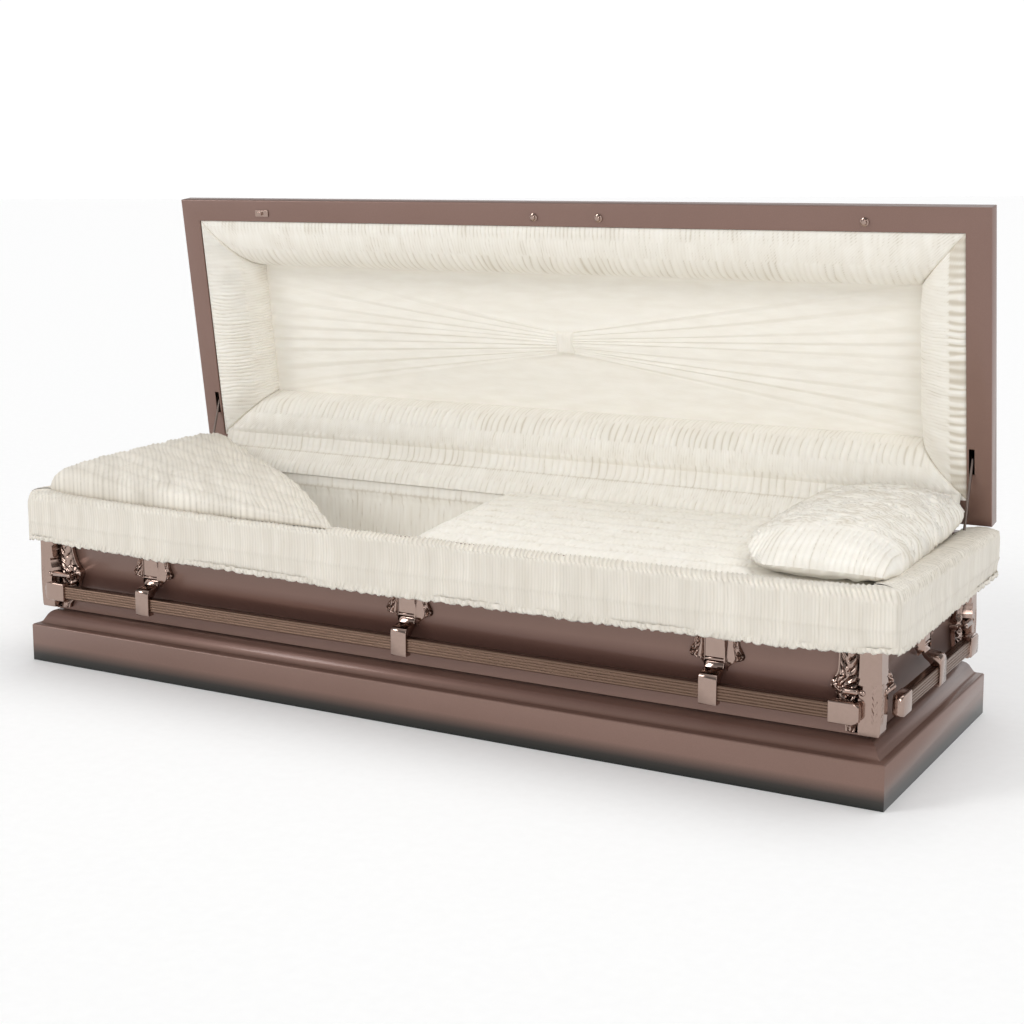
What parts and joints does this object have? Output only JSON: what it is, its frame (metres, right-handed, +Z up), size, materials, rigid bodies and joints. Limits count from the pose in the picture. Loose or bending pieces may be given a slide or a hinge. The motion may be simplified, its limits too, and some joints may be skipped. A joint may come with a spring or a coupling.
{
  "type": "funeral casket",
  "caption": "Full-couch sheet-metal casket with its lid held open, swing-bar handles on all four sides, shirred lining, pillow and folded throw.",
  "frame": {"origin": "on the floor plane, under the middle of the floor pan", "axes": "+X along the length to the head end, +Y from the front to the hinged side, +Z up"},
  "size_m": [2.1413, 0.8431, 1.0925],
  "materials": {
    "painted_steel": "metallic copper-brown enamel, satin gloss",
    "plating": "bright pinkish copper plating",
    "bar_metal": "satin brownish copper",
    "crepe": "ivory crepe with a fine sheen",
    "steel": "plain steel"
  },
  "bodies": {
    "base": {"base_moulding": "painted_steel", "body_shell": "painted_steel", "handle_lug_front_1": "plating", "handle_lug_front_2": "plating", "handle_lug_front_3": "plating", "handle_lug_right": "plating", "handle_lug_back_1": "plating", "handle_lug_back_2": "plating", "handle_lug_back_3": "plating", "handle_lug_left": "plating", "corner_casting_front_left": "plating", "corner_casting_front_right": "plating", "corner_casting_back_right": "plating", "corner_casting_back_left": "plating", "hinge_leaf_body": "steel", "stay_bracket_left": "steel", "stay_bracket_right": "steel", "bed_frame": "steel", "mattress": "crepe", "body_lining": "crepe", "skirt_front": "crepe", "skirt_right": "crepe", "skirt_left": "crepe", "hinge_cover_roll": "crepe", "head_pillow": "crepe", "foot_throw": "crepe"},
    "lid": {"lid_shell": "painted_steel", "hinge_leaf_lid": "steel", "lid_roll_front": "crepe", "lid_roll_right": "crepe", "lid_roll_back": "crepe", "lid_roll_left": "crepe", "lid_panel": "crepe", "lid_panel_band": "crepe", "lid_catch_1": "plating", "lid_catch_2": "plating", "lid_catch_3": "plating", "lid_latch_plate": "plating"},
    "bar_front": {"handle_bar_front": "bar_metal", "bar_tip_front_a": "plating", "bar_tip_front_b": "plating", "handle_arm_front_1": "plating", "handle_arm_front_2": "plating", "handle_arm_front_3": "plating"},
    "bar_right": {"handle_bar_right": "bar_metal", "bar_tip_right_a": "plating", "bar_tip_right_b": "plating", "handle_arm_right": "plating"},
    "bar_back": {"handle_bar_back": "bar_metal", "bar_tip_back_a": "plating", "bar_tip_back_b": "plating", "handle_arm_back_1": "plating", "handle_arm_back_2": "plating", "handle_arm_back_3": "plating"},
    "bar_left": {"handle_bar_left": "bar_metal", "bar_tip_left_a": "plating", "bar_tip_left_b": "plating", "handle_arm_left": "plating"},
    "stay_left": {"lid_stay_left": "plating"},
    "stay_right": {"lid_stay_right": "plating"}
  },
  "joints": [
    {"name": "lid_hinge", "type": "hinge", "parent": "base", "child": "lid", "pos_m": [0, 0.351, 0.4], "axis": [1, 0, 0], "range_deg": [0, 82.05], "deforming": ["skirt_front", "skirt_right", "skirt_left", "hinge_cover_roll", "head_pillow", "foot_throw"]},
    {"name": "stay_left_pivot", "type": "hinge", "parent": "base", "child": "stay_left", "pos_m": [-1.014, 0.275, 0.364], "axis": [1, 0, 0], "range_deg": [0, 75]},
    {"name": "stay_right_pivot", "type": "hinge", "parent": "base", "child": "stay_right", "pos_m": [1.014, 0.275, 0.364], "axis": [1, 0, 0], "range_deg": [0, 75]},
    {"name": "front_bar_swing", "type": "hinge", "parent": "base", "child": "bar_front", "pos_m": [0, -0.309, 0.226], "axis": [-1, 0, 0], "range_deg": [0, 75]},
    {"name": "back_bar_swing", "type": "hinge", "parent": "base", "child": "bar_back", "pos_m": [0, 0.309, 0.226], "axis": [1, 0, 0], "range_deg": [0, 75]},
    {"name": "right_bar_swing", "type": "hinge", "parent": "base", "child": "bar_right", "pos_m": [1.02, 0, 0.226], "axis": [0, -1, 0], "range_deg": [0, 75]},
    {"name": "left_bar_swing", "type": "hinge", "parent": "base", "child": "bar_left", "pos_m": [-1.02, 0, 0.226], "axis": [0, 1, 0], "range_deg": [0, 75]}
  ],
  "couplings": [
    {"joint": "stay_left_pivot", "follows": "lid_hinge", "ratio": 0.9},
    {"joint": "stay_right_pivot", "follows": "lid_hinge", "ratio": 0.9}
  ]
}
